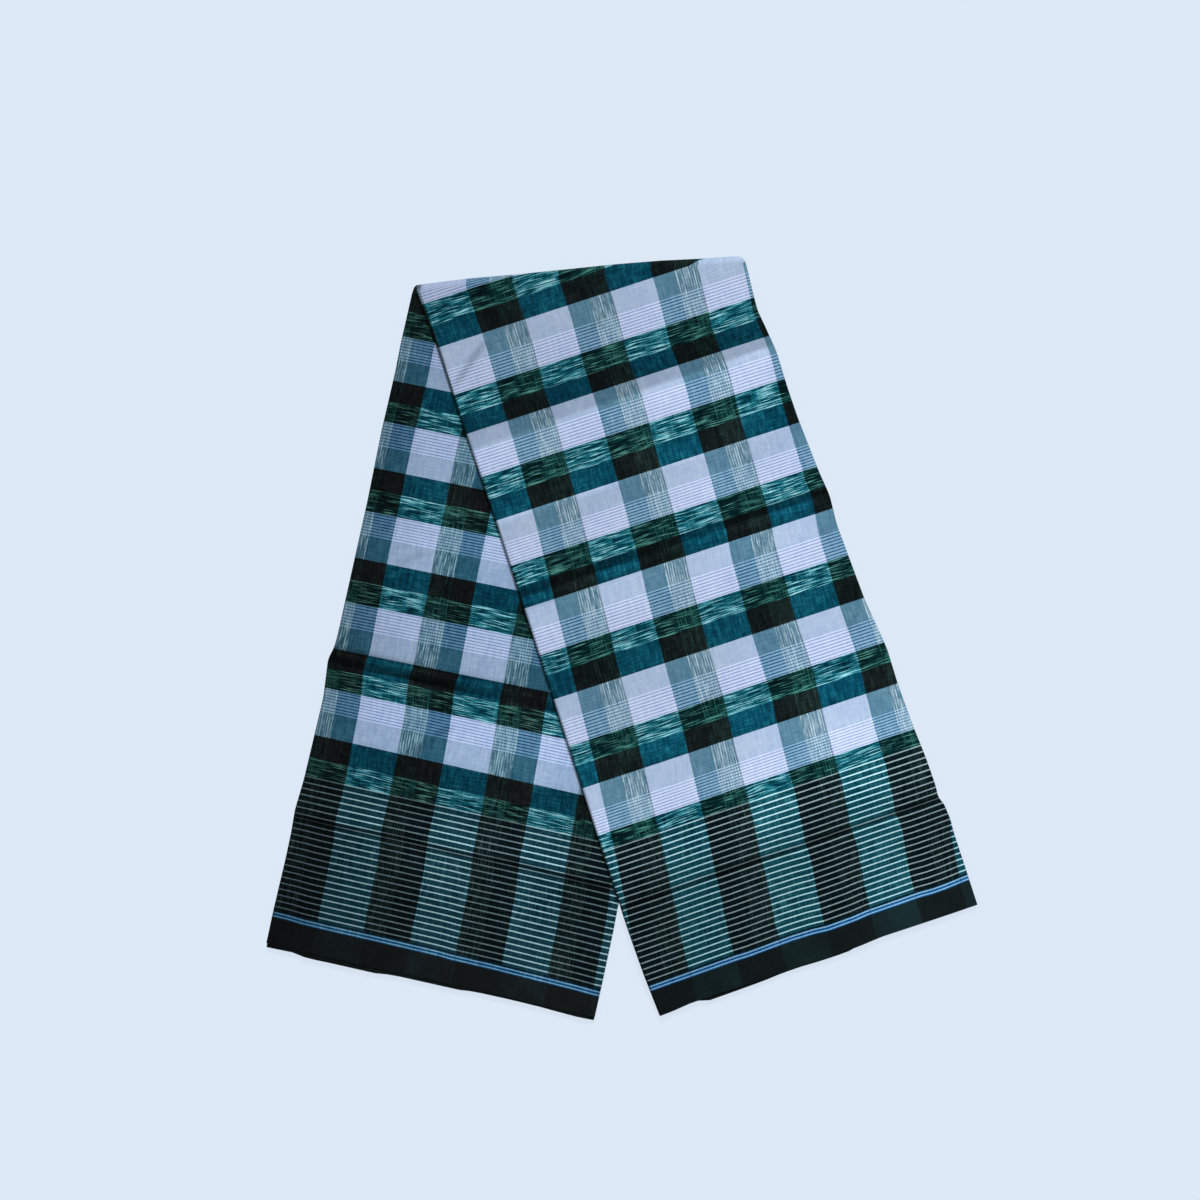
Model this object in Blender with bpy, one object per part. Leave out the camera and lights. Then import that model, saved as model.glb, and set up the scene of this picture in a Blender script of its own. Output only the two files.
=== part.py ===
"""Checked cotton longyi, a tube skirt folded into a strip of eight layers.

The strip is turned over once near its middle. Its two legs lie in an open V on the surface, the over leg on the
under leg, and the turn is the top edge. X runs right, Y up to the turn, Z up. Sizes are millimetres until
world_point turns them into metres. Each leg has its own frame: 'across' from the fold's left end, and 'down'
along the leg.
"""
import math

import bmesh
import bpy

MM = 0.001

# Build of the cloth
CLOTH_WALL = 1.0
LEG_HEIGHT = 6.0
GAP = 0.3

# Lie of the two legs, tilt from the -Y direction
OVER_TILT = math.radians(19.0)
UNDER_TILT = math.radians(-12.5)
FOLD_LEFT = (-171.35, 290.68)
FOLD_RIGHT = (101.45, 312.88)
FOLD_RADIUS = LEG_HEIGHT + GAP / 2
FOLD_CORNER = 5.0
FOLD_STEPS = 8

# How far the turn bows out of its straight chord: share of its length, bow
FOLD_BOW = (
    (0.00, 0.0),
    (0.16, 2.0),
    (0.31, 2.3),
    (0.46, 3.1),
    (0.60, 4.0),
    (0.75, 4.0),
    (0.88, 2.8),
    (0.96, 2.6),
    (1.00, 2.0),
)

# Side edges of the legs, pushed out where a packing crease crosses them: down, left, right
OVER_EDGES = (
    (6.0, 0.3, 264.5),
    (55.0, 1.6, 264.5),
    (78.0, 1.2, 263.6),
    (112.0, 0.5, 260.8),
    (148.0, 0.3, 264.7),
    (208.0, 0.1, 263.0),
    (271.0, -1.1, 266.6),
    (300.0, -1.6, 265.1),
    (366.0, -3.0, 266.2),
    (411.0, -3.9, 270.2),
    (475.0, -5.1, 269.9),
    (544.0, -6.3, 272.4),
    (560.0, -6.3, 274.8),
    (571.0, -6.2, 273.1),
    (634.0, -4.8, 272.3),
)
UNDER_EDGES = (
    (-75.0, -0.5, 261.6),
    (6.0, -0.6, 263.6),
    (51.0, -0.8, 264.6),
    (72.0, -0.2, 265.2),
    (122.0, -0.7, 266.4),
    (183.0, 0.5, 267.9),
    (290.0, 0.2, 270.5),
    (316.0, -3.0, 271.1),
    (348.0, 0.0, 272.0),
    (418.0, -1.0, 273.6),
    (444.0, -2.8, 274.2),
    (462.0, -1.8, 274.7),
    (557.0, -0.8, 275.4),
)

# Selvedges at the legs' ends: share across, down to the cloth's edge, how far the layers below reach past it
OVER_HEM = (
    (0.00, 634.0, 0.0),
    (0.15, 634.8, 0.0),
    (0.17, 634.2, 1.6),
    (0.62, 633.8, 1.5),
    (0.66, 634.6, 0.0),
    (1.00, 634.0, 0.0),
)
UNDER_HEM = (
    (0.00, 556.4, 0.0),
    (0.13, 557.0, 0.0),
    (0.16, 557.2, 2.0),
    (0.34, 557.4, 1.8),
    (0.37, 557.0, 0.0),
    (0.90, 557.4, 0.2),
    (0.93, 557.4, 1.5),
    (1.00, 556.8, 2.2),
)

# Packing creases across the legs: down, rise of the top layer
OVER_CREASES = (
    (148.0, 0.7),
    (271.0, 0.5),
    (411.0, -0.5),
    (544.0, 0.8),
)
UNDER_CREASES = (
    (51.0, 0.5),
    (183.0, -0.5),
    (316.0, 0.8),
    (444.0, -0.5),
)
CREASE_REACH = 8.0
ROW_SPACING = 40.0

# Rows that fan out from the slanted turn to the first level row, as shares of that way
FAN_ROWS = (0.0, 0.34, 0.67)

# The over leg comes down to the surface beside the under leg
DROP_START = 24.0
DROP_LENGTH = 42.0

# Crease relief on the under leg dies away before the over leg's edge
COVER_CLEAR = 8.0
COVER_FADE = 20.0

# Columns of the panels, closer where the layers at the hems step
COLUMNS = (0.0, 0.05, 0.14, 0.17, 0.26, 0.35, 0.38, 0.46, 0.54, 0.62, 0.66, 0.74, 0.82, 0.90, 0.94, 1.0)

# Edges of the hidden layers in three packs: height, inset at the right, inset at the hem
LAYER_EDGES = (
    (0.0, 1.0, 1.0),
    (0.4, 0.3, 0.4),
    (1.3, 0.3, 0.4),
    (1.8, 1.6, 1.3),
    (2.2, 0.0, 0.1),
    (3.0, 0.0, 0.1),
    (3.4, 1.6, 1.3),
    (3.7, 0.6, 0.7),
    (4.3, 0.6, 0.7),
    (4.7, 1.2, 1.2),
)

# Left edge of the bottom layer, which rounds into the fold: height, inset
BASE_EDGES = (
    (0.0, 1.6),
    (CLOTH_WALL, 0.8),
)
LEFT_FOLD_STEPS = 5

# Mean colours of the cloth, in linear values, and its dull finish
TOP_COLOUR = (0.20, 0.28, 0.33)
HIDDEN_COLOUR = (0.12, 0.17, 0.20)
CLOTH_ROUGHNESS = 0.85
SHARP_EDGE = math.radians(40.0)


def between(table, column, position):
    """Value of a column of a table at a position given in its first column."""
    if position <= table[0][0]:
        return table[0][column]
    for low, high in zip(table, table[1:]):
        if position <= high[0]:
            share = (position - low[0]) / (high[0] - low[0])
            return low[column] + share * (high[column] - low[column])
    return table[-1][column]


def smooth(value):
    """Ease from 0 to 1 as the value goes from 0 to 1."""
    value = min(max(value, 0.0), 1.0)
    return value * value * (3.0 - 2.0 * value)


def fold_direction():
    """Unit vector along the turn, left to right."""
    run = FOLD_RIGHT[0] - FOLD_LEFT[0]
    rise = FOLD_RIGHT[1] - FOLD_LEFT[1]
    length = math.hypot(run, rise)
    return run / length, rise / length


def to_plan(tilt, across, down):
    """Plan position of a point that is given in a leg's own frame."""
    x = FOLD_LEFT[0] + across * math.cos(tilt) + down * math.sin(tilt)
    y = FOLD_LEFT[1] + across * math.sin(tilt) - down * math.cos(tilt)
    return x, y


def to_leg(tilt, x, y):
    """Across and down in a leg's own frame of a point that is given in plan."""
    x -= FOLD_LEFT[0]
    y -= FOLD_LEFT[1]
    return x * math.cos(tilt) + y * math.sin(tilt), x * math.sin(tilt) - y * math.cos(tilt)


def fold_axis_down(tilt, across):
    """How far down a leg the turn's axis lies."""
    run, rise = fold_direction()
    start_across, start_down = to_leg(tilt, FOLD_LEFT[0] + rise * FOLD_RADIUS, FOLD_LEFT[1] - run * FOLD_RADIUS)
    slope = (run * math.sin(tilt) - rise * math.cos(tilt)) / (run * math.cos(tilt) + rise * math.sin(tilt))
    return start_down + slope * (across - start_across)


class Leg:
    """One half of the strip, from the turn's axis down to the selvedge."""

    def __init__(self, tilt, edges, hem, creases, first_level_row):
        self.tilt = tilt
        self.edges = edges
        self.hem = hem
        self.creases = creases
        self.first_level_row = first_level_row
        self.rows = self.place_rows()

    def place_rows(self):
        """Rows across the leg as (down at the left edge, down at the right edge, share of the turn's bow)."""
        rows = []
        axis_left = fold_axis_down(self.tilt, self.edges[0][1])
        axis_right = fold_axis_down(self.tilt, self.edges[0][2])
        for fan in FAN_ROWS:
            left = axis_left + fan * (self.first_level_row - axis_left)
            right = axis_right + fan * (self.first_level_row - axis_right)
            rows.append((left, right, 1.0 - fan))
        stops = [self.first_level_row]
        for down, _ in self.creases:
            stops += [down - CREASE_REACH, down, down + CREASE_REACH]
        for down, _, _ in self.edges:
            apart = min(abs(down - stop) for stop in stops)
            if down > self.first_level_row and apart > CREASE_REACH / 2:
                stops.append(down)
        stops.sort()
        rows.append((stops[0], stops[0], 0.0))
        for start, end in zip(stops, stops[1:]):
            steps = max(1, round((end - start) / ROW_SPACING))
            for step in range(1, steps + 1):
                down = start + (end - start) * step / steps
                rows.append((down, down, 0.0))
        return rows

    def plan(self, row, share, inset_left, inset_right):
        """Plan position on a row, the insets measured in from the leg's side edges."""
        left = to_plan(self.tilt, between(self.edges, 1, row[0]), row[0])
        right = to_plan(self.tilt, between(self.edges, 2, row[1]), row[1])
        width = math.dist(left, right)
        share = (inset_left + share * (width - inset_left - inset_right)) / width
        run, rise = fold_direction()
        bow = row[2] * between(FOLD_BOW, 1, share)
        x = left[0] + share * (right[0] - left[0]) - rise * bow
        y = left[1] + share * (right[1] - left[1]) + run * bow
        return x, y

    def relief(self, x, y):
        """Rise of the packing creases at a point of the top layer."""
        down = to_leg(self.tilt, x, y)[1]
        rise = 0.0
        for crease, height in self.creases:
            rise += height * smooth(1.0 - abs(down - crease) / CREASE_REACH)
        return rise


OVER = Leg(OVER_TILT, OVER_EDGES, OVER_HEM, OVER_CREASES, first_level_row=98.0)
UNDER = Leg(UNDER_TILT, UNDER_EDGES, UNDER_HEM, UNDER_CREASES, first_level_row=30.0)


def floor_height(leg, x, y):
    """Height that a leg rests on: the surface, or the under leg."""
    if leg is UNDER:
        return 0.0
    across, down = to_leg(UNDER_TILT, x, y)
    beside = across - between(UNDER_EDGES, 2, down)
    return (LEG_HEIGHT + GAP) * (1.0 - smooth((beside - DROP_START) / DROP_LENGTH))


def uncovered(x, y):
    """0 where the over leg covers the under leg or lies close by, 1 clear of it."""
    across, down = to_leg(OVER_TILT, x, y)
    return smooth((between(OVER_EDGES, 1, down) - across - COVER_CLEAR) / COVER_FADE)


def on_leg(leg, x, y, height):
    """World position of a point at a height inside a leg."""
    relief = leg.relief(x, y) * height / LEG_HEIGHT
    if leg is UNDER:
        relief *= uncovered(x, y)
    return world_point(x, y, floor_height(leg, x, y) + height + relief)


def in_turn(share, turn, height, inset_left, inset_right):
    """World position in the turn: turn goes from 0 on the over leg to 1 under the under leg."""
    angle = math.pi * (0.5 - turn)
    corner = FOLD_CORNER * (1.0 - abs(math.sin(angle)))
    top = OVER.plan(OVER.rows[0], share, inset_left, inset_right + corner)
    bottom = UNDER.plan(UNDER.rows[0], share, inset_left, inset_right + corner)
    run, rise = fold_direction()
    radius = height + GAP / 2
    x = top[0] + turn * (bottom[0] - top[0]) - rise * radius * math.cos(angle)
    y = top[1] + turn * (bottom[1] - top[1]) + run * radius * math.cos(angle)
    return world_point(x, y, FOLD_RADIUS + radius * math.sin(angle))


def world_point(x, y, z):
    """Metres from millimetres."""
    return x * MM, y * MM, z * MM


def sheet(leg, path, with_turn, hem_inset, layers_out):
    """Grid of points over a leg, a row for each row of the leg and, before them, for each step of the turn.

    The path runs across the leg as (share, height, inset left, inset right). At the hem layers_out is 1 for the
    layers that reach past the top one, and 0 for a layer that ends with it.
    """
    grid = []
    if with_turn:
        for step in range(FOLD_STEPS):
            turn = 1.0 - step / FOLD_STEPS
            grid.append([in_turn(share, turn, height, left, right) for share, height, left, right in path])
    for number, row in enumerate(leg.rows):
        points = []
        for share, height, left, right in path:
            x, y = leg.plan(row, share, left, right)
            shift = 0.0
            if number == 0 and not with_turn:
                shift = GAP
            if number == len(leg.rows) - 1:
                shift = between(leg.hem, 1, share) - row[0] - hem_inset
                shift += layers_out * between(leg.hem, 2, share)
            x += shift * math.sin(leg.tilt)
            y -= shift * math.cos(leg.tilt)
            points.append(on_leg(leg, x, y, height))
        grid.append(points)
    return grid


def closed_solid(name, sheets, colour):
    """Closed solid between a first and a last sheet of points, its rim running through the sheets between."""
    across = len(sheets[0][0])
    along = len(sheets[0])
    mesh = bmesh.new()
    rim = [(0, column) for column in range(across)]
    rim += [(row, across - 1) for row in range(1, along)]
    rim += [(along - 1, column) for column in range(across - 2, -1, -1)]
    rim += [(row, 0) for row in range(along - 2, 0, -1)]
    levels = []
    for number, points in enumerate(sheets):
        whole = number in (0, len(sheets) - 1)
        places = [(row, column) for row in range(along) for column in range(across)] if whole else rim
        levels.append({place: mesh.verts.new(points[place[0]][place[1]]) for place in places})
    for level in (levels[0], levels[-1]):
        for row in range(along - 1):
            for column in range(across - 1):
                corners = ((row, column), (row, column + 1), (row + 1, column + 1), (row + 1, column))
                mesh.faces.new([level[corner] for corner in corners])
    for low, high in zip(levels, levels[1:]):
        for here, after in zip(rim, rim[1:] + rim[:1]):
            mesh.faces.new((low[here], low[after], high[after], high[here]))
    bmesh.ops.recalc_face_normals(mesh, faces=mesh.faces)
    bmesh.ops.triangulate(mesh, faces=mesh.faces)
    data = bpy.data.meshes.new(name)
    mesh.to_mesh(data)
    mesh.free()
    data.materials.append(cloth_material(name, colour))
    data.shade_smooth()
    data.set_sharp_from_angle(angle=SHARP_EDGE)
    item = bpy.data.objects.new(name, data)
    bpy.context.collection.objects.link(item)
    return item


def cloth_material(name, colour):
    """Plain material with the cloth's mean colour."""
    material = bpy.data.materials.new(name)
    material.use_nodes = True
    shader = material.node_tree.nodes["Principled BSDF"]
    shader.inputs["Base Color"].default_value = (*colour, 1.0)
    shader.inputs["Roughness"].default_value = CLOTH_ROUGHNESS
    shader.inputs["Metallic"].default_value = 0.0
    return material


def folded_path(depth, lowest):
    """Path of a face of a top layer: from its lowest height up round the left fold, then across the leg."""
    centre = LEG_HEIGHT / 2
    radius = centre - depth
    first = math.asin(max(-1.0, (lowest - centre) / radius))
    path = []
    for step in range(LEFT_FOLD_STEPS):
        angle = first + (math.pi / 2 - first) * step / LEFT_FOLD_STEPS
        path.append((0.0, centre + radius * math.sin(angle), centre - radius * math.cos(angle), 0.0))
    for share in COLUMNS:
        path.append((share, LEG_HEIGHT - depth, centre, 0.0))
    return path


def inside_left_fold(height):
    """Inset from the left edge that stays inside the top layer's fold."""
    centre = LEG_HEIGHT / 2
    radius = centre - CLOTH_WALL - GAP
    if height < centre - radius + GAP:
        return centre + GAP
    return centre - math.sqrt(max(0.0, radius ** 2 - (height - centre) ** 2))


def top_cloth(name, leg, with_turn, lowest):
    """Top layer of a leg, wrapped round its left fold down to its lowest height."""
    sheets = []
    for depth in (CLOTH_WALL, 0.0):
        sheets.append(sheet(leg, folded_path(depth, lowest), with_turn, 0.0, 0.0))
    return closed_solid(name, sheets, TOP_COLOUR)


def hidden_layers(name, leg, with_turn, bottom):
    """Layers inside a leg as one solid, stepped in three packs at its right edge and its hem."""
    sheets = []
    top = LAYER_EDGES[-1][0]
    for height, right, hem in LAYER_EDGES:
        raised = bottom + height * (top - bottom) / top
        path = [(share, raised, inside_left_fold(raised), right) for share in COLUMNS]
        sheets.append(sheet(leg, path, with_turn, hem, 1.0))
    return closed_solid(name, sheets, HIDDEN_COLOUR)


def base_cloth(name):
    """Bottom layer of the under leg, flat on the surface."""
    sheets = []
    for height, inset in BASE_EDGES:
        path = [(share, height, inset, 0.0) for share in COLUMNS]
        sheets.append(sheet(UNDER, path, False, 0.0, 0.0))
    return closed_solid(name, sheets, TOP_COLOUR)


def clear_scene():
    """Start from an empty scene."""
    for item in list(bpy.data.objects):
        bpy.data.objects.remove(item, do_unlink=True)


clear_scene()
base_cloth("under_leg_base_cloth")
hidden_layers("under_leg_layers", UNDER, False, CLOTH_WALL + GAP)
top_cloth("under_leg_cloth", UNDER, False, CLOTH_WALL + GAP)
hidden_layers("over_leg_layers", OVER, True, 0.0)
top_cloth("over_leg_cloth", OVER, True, 0.0)
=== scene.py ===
"""Checked cotton longyi, a tube skirt folded into a strip of eight layers and turned over once.

The strip's two legs lie in an open V, the over leg on the under leg, and the turn is the top edge. Sizes
are in millimetres until a mesh is made. Each leg has its own frame, 'across' from its left edge and 'down'
from the turn to the selvedge.
"""
import functools
import math

import bpy
import numpy as np
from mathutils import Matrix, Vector, noise


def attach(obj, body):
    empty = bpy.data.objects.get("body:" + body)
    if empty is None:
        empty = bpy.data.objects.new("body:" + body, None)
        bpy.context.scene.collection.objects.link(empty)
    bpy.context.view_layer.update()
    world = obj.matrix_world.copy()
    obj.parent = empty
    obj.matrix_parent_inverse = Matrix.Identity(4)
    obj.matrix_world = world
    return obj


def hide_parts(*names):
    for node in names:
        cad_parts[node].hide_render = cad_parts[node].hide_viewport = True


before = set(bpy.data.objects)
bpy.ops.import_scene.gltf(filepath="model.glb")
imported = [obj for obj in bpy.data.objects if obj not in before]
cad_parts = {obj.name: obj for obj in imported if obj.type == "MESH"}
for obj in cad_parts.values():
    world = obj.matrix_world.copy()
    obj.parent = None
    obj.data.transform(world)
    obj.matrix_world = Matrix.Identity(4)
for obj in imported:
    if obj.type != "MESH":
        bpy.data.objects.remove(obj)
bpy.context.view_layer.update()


# The camera looks straight down on the cloth from nearly three metres, as for a flat-lay picture. It has a
# long lens, so that the two legs of the strip keep their true widths.
LENS = 100.0
SENSOR = 36.0
FRAME_WIDTH = 0.9888
LEVEL_IN_FOCUS = 0.010
PICTURE_CENTRE = (-0.01807, 0.03109)

camera_data = bpy.data.cameras.new("flat_lay_camera")
camera_data.lens = LENS
camera_data.sensor_width = SENSOR
camera = bpy.data.objects.new("flat_lay_camera", camera_data)
camera.location = (*PICTURE_CENTRE, LEVEL_IN_FOCUS + FRAME_WIDTH * LENS / SENSOR)
bpy.context.scene.collection.objects.link(camera)
bpy.context.scene.camera = camera


# Cloth of the over leg: its top layer, the left fold, the lowest layer, and the way round the turn. It is
# plain-weave cotton, folded by hand, with packing creases pressed across all eight layers. The strip's lie,
# its weave, its finish and the painted light and shade of its slopes and creases are worked out here, and
# the other pieces use them too.
LEG_HEIGHT = 6.0
LAYER_GAP = 0.3
CLOTH_THICKNESS = 0.4
LAYER_PITCH = 0.8
TURN_LEFT = (-171.35, 290.68)
TURN_RIGHT = (101.45, 312.88)
TURN_RADIUS = LEG_HEIGHT + LAYER_GAP / 2
TURN_CORNER = 5.0
TURN_ROWS = 22
TURN_END_SHADE = 0.85
TURN_END_WIDTH = 8.0
FLAT_PAST_TURN = 12.0
DROP_START = 24.0
DROP_LENGTH = 42.0
COVER_MARGIN = 5.0
COVER_FADE = 20.0
ROW_STEP = 3.0
CREASE_ROW_STEP = 1.2
CREASE_ROWS_REACH = 8.0
HEM_REACH = 60.0
EDGE_ROUNDING = (-3.0, -1.0, 1.0, 3.0)
CREASE_ROUNDING = (-1.2, -0.4, 0.4, 1.2)
CREASE_WANDER = 0.9
CREASE_WANDER_SIZE = 55.0
BROAD_SWELL = 0.20
BROAD_SWELL_SIZE = 70.0
SMALL_SWELL = 0.08
SMALL_SWELL_SIZE = 28.0
WRINKLE_FADE = 14.0
WRINKLE_SHADE = 0.35
QUARTER = 19.2
EDGE_WIDTH = 270.0
BORDER_LINES = 23.07
BORDER_PITCH = 5.1
NOT_BORDER = 200.0

# Share across, and how far the turn bows out there.
TURN_BOW = (
    (0.00, 0.0), (0.16, 2.0), (0.31, 2.3), (0.46, 3.1), (0.60, 4.0),
    (0.75, 4.0), (0.88, 2.8), (0.96, 2.6), (1.00, 2.0),
)

# The tables of a leg. Their columns are named here, once for both legs.
OVER_LEG = {
    "tilt": math.radians(19.0),
    "first_level_row": 98.0,
    "end": 634.0,
    # Down, left edge, right edge.
    "edges": (
        (6.0, 0.3, 264.5), (55.0, 1.6, 264.5), (78.0, 1.2, 263.6), (112.0, 0.5, 260.8), (148.0, 0.3, 264.7),
        (180.0, 0.2, 263.9), (208.0, 0.1, 263.9), (255.0, -0.8, 266.0), (275.0, -1.2, 267.9),
        (300.0, -1.6, 265.6), (366.0, -3.0, 267.3), (411.0, -3.9, 271.5), (440.0, -4.4, 270.4),
        (475.0, -5.1, 270.9), (505.0, -5.6, 272.5), (530.0, -6.0, 272.6), (541.0, -6.2, 271.4),
        (545.5, -6.4, 274.0), (560.0, -6.5, 275.2), (571.0, -6.5, 274.2), (600.0, -6.2, 273.8),
        (634.0, -4.8, 273.2),
    ),
    # Share across, down: the selvedge of the top layer, and of the layers under it.
    "hem": (
        (0.00, 636.0), (0.04, 635.8), (0.10, 634.4), (0.20, 634.4), (0.33, 635.0), (0.45, 634.6),
        (0.55, 635.9), (0.63, 635.2), (0.70, 633.9), (0.83, 634.4), (0.93, 634.6), (1.00, 634.6),
    ),
    "inner_hem": (
        (0.00, 634.0), (0.14, 634.4), (0.155, 637.3), (0.25, 637.0), (0.33, 636.6), (0.38, 635.7),
        (0.44, 635.5), (0.50, 636.4), (0.58, 636.6), (0.60, 636.2), (0.62, 634.5), (0.70, 633.5),
        (1.00, 633.0),
    ),
    # Down, rise: a table for each packing crease.
    "creases": (
        ((100.0, 0.0), (114.0, 1.6), (129.0, 1.9), (143.0, -1.3), (148.0, -0.3), (160.0, 0.5), (176.0, 0.0)),
        ((186.0, 0.0), (195.0, -0.4), (209.0, 0.7), (222.0, 0.0)),
        ((250.0, 0.0), (264.5, 1.7), (273.0, -1.3), (280.0, 1.6), (291.0, 0.6), (305.0, 0.0)),
        ((398.0, 0.0), (407.0, 0.5), (413.0, -0.7), (436.0, 0.8), (452.0, 0.0)),
        ((530.0, 0.0), (539.5, 1.1), (542.5, -1.2), (546.0, 0.5), (556.0, 0.0)),
    ),
    # Across and down of the start, across and down of the end, height, reach to each side.
    "wrinkles": (
        (0.0, 90.0, 44.0, 57.0, 0.8, 5.0), (117.0, 87.0, 146.0, 67.0, 0.5, 4.0),
        (97.0, 411.0, 130.0, 392.0, 0.6, 4.0), (266.0, 369.0, 242.0, 392.0, 0.6, 4.0),
    ),
    # Down, gain: a table of painted light and shade for each crease. Then across, gain, and down, gain, of
    # the painted light and shade of the leg's slow slopes.
    "painted_crease_shading": (
        ((112.0, 1.0), (120.0, 0.80), (130.0, 0.72), (133.0, 0.84), (142.5, 0.80), (145.5, 1.0)),
        ((190.0, 1.0), (196.0, 1.2), (207.0, 1.2), (211.0, 1.0)),
        ((264.0, 1.0), (266.5, 0.6), (272.0, 0.6), (274.5, 1.25), (279.0, 1.1), (281.5, 0.9), (284.0, 1.15),
         (300.0, 1.1), (312.0, 1.0)),
        ((417.0, 1.0), (421.0, 1.25), (435.0, 1.2), (438.0, 1.0)),
        ((492.0, 1.0), (498.0, 1.12), (520.0, 1.08), (537.0, 0.95), (539.5, 0.60), (543.0, 0.45),
         (544.5, 1.0)),
    ),
    "light_across": ((0.0, 0.95), (75.0, 0.96), (135.0, 1.02), (190.0, 1.13), (270.0, 1.12)),
    "light_down": (
        (0.0, 0.74), (60.0, 0.89), (100.0, 0.87), (140.0, 1.02), (200.0, 0.98), (300.0, 1.0), (400.0, 1.02),
        (440.0, 1.13), (510.0, 1.15), (530.0, 0.94), (570.0, 0.88), (610.0, 0.97),
    ),
    # Down, place in the sequence of warp bars at the left edge.
    "bars": (
        (0.0, 1.87), (70.0, 1.93), (100.0, 1.98), (160.0, 2.14), (220.0, 2.34), (280.0, 2.60), (430.0, 3.18),
        (460.0, 3.33), (500.0, 3.50), (548.0, 3.80), (596.0, 4.11), (634.0, 4.25),
    ),
    "quarters_across": 14.2,
    "upside_down": False,
    # Down, rise of the weft bands from left to right. Then the down of each quarter of the check.
    "band_tilt": ((0.0, 4.6), (330.0, 4.6), (430.0, 3.2), (500.0, 1.8)),
    "band_start": 0.0,
    "bands": (
        479.2, 459.4, 438.8, 420.2, 402.9, 381.1, 362.6, 342.0, 324.7, 302.8, 284.1, 265.7, 247.2, 227.4,
        208.1, 189.5, 170.2, 148.3, 132.7, 117.4, 98.9, 77.5, 57.7, 39.1, 19.8, -0.8,
    ),
    "border_start": 491.4,
    # Across, down.
    "blue_line": (
        (0.0, 610.8), (23.0, 611.0), (69.0, 610.5), (81.0, 610.9), (104.0, 610.3), (119.0, 610.0),
        (138.0, 610.6), (150.0, 611.9), (173.0, 611.5), (185.0, 610.5), (231.0, 610.3), (242.0, 611.1),
        (254.0, 610.9), (270.0, 609.9),
    ),
    "first_blue": 1.25,
    # Down, how far the border's lines are shifted down at the left edge, and at the right edge.
    "line_shift": (
        (491.0, 1.5, 2.0), (513.0, 1.4, 3.1), (530.0, 1.3, 3.7), (540.0, 1.1, 2.8), (560.0, 1.4, 2.1),
        (579.0, 0.8, 1.1), (609.0, 0.3, 0.4), (634.0, 0.0, 0.0),
    ),
}
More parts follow.
